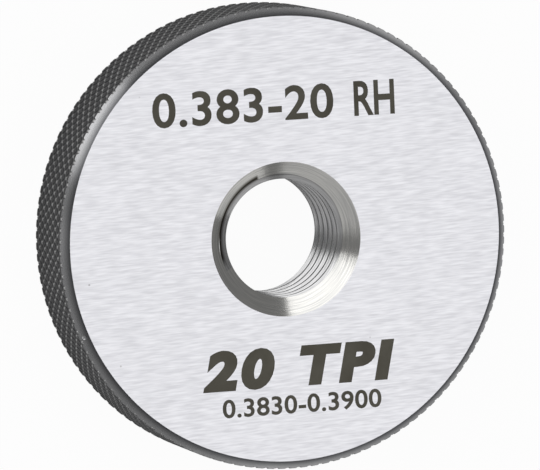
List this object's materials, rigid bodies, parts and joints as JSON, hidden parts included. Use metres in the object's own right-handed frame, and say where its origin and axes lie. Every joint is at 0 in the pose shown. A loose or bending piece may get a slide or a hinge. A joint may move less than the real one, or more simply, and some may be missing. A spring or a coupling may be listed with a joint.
{
  "type": "thread ring gauge",
  "caption": "Flat steel ring with knurled rim, bevelled edges and a right-hand internal thread; screws onto a bolt or shaft to test its external thread.",
  "frame": {"origin": "middle of the lower face, on the bore's axis", "axes": "+Z along the bore to the marked face; +X the way the marks on that face read; +Y towards the top of the marks"},
  "size_m": [0.038, 0.038, 0.009],
  "materials": {
    "gauge_steel": "ground faces, dark knurled rim"
  },
  "bodies": {
    "root": {"ring_gauge": "gauge_steel"}
  },
  "joints": []
}
